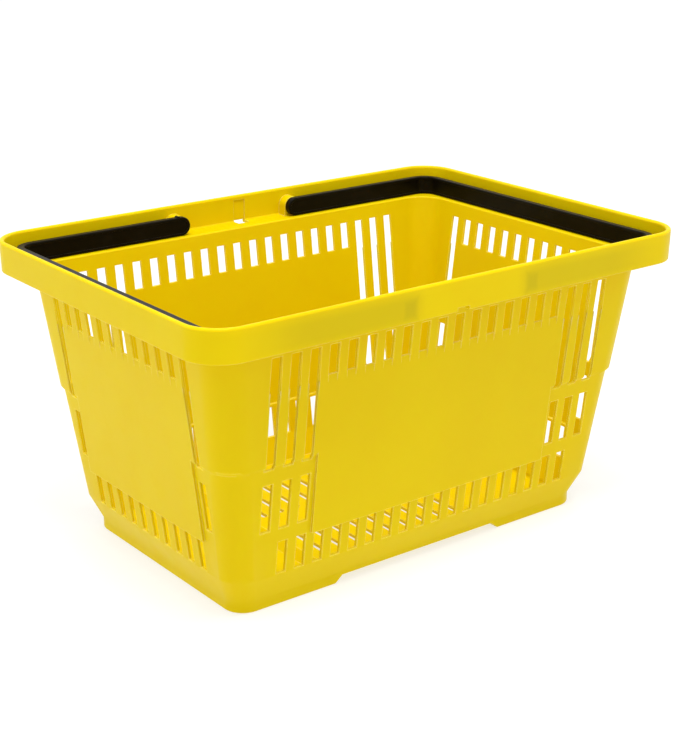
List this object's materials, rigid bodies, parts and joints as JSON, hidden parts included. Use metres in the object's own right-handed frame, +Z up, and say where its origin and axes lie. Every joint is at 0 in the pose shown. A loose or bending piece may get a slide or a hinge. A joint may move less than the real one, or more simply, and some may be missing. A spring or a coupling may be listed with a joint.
{
  "type": "shopping basket",
  "caption": "Nesting plastic hand basket with slotted walls, a deep rim band and two folding bail handles.",
  "frame": {"origin": "centre of the footprint, on the plane that the feet stand on", "axes": "+X along the long side, +Y along the short side, +Z up; the handles fold down towards -X and +X"},
  "size_m": [0.43, 0.2994, 0.2284],
  "materials": {
    "tub_plastic": "satin moulded plastic, slightly translucent yellow",
    "handle_plastic": "satin moulded plastic, black"
  },
  "bodies": {
    "tub": {"basket_tub": "tub_plastic"},
    "left_handle": {"handle_left": "handle_plastic"},
    "right_handle": {"handle_right": "handle_plastic"}
  },
  "joints": [
    {"name": "left_handle_fold", "type": "hinge", "parent": "tub", "child": "left_handle", "pos_m": [-0.0555, 0, 0.2144], "axis": [0, 1, 0], "range_deg": [0, 109]},
    {"name": "right_handle_fold", "type": "hinge", "parent": "tub", "child": "right_handle", "pos_m": [0.0555, 0, 0.2144], "axis": [0, -1, 0], "range_deg": [0, 109]}
  ]
}
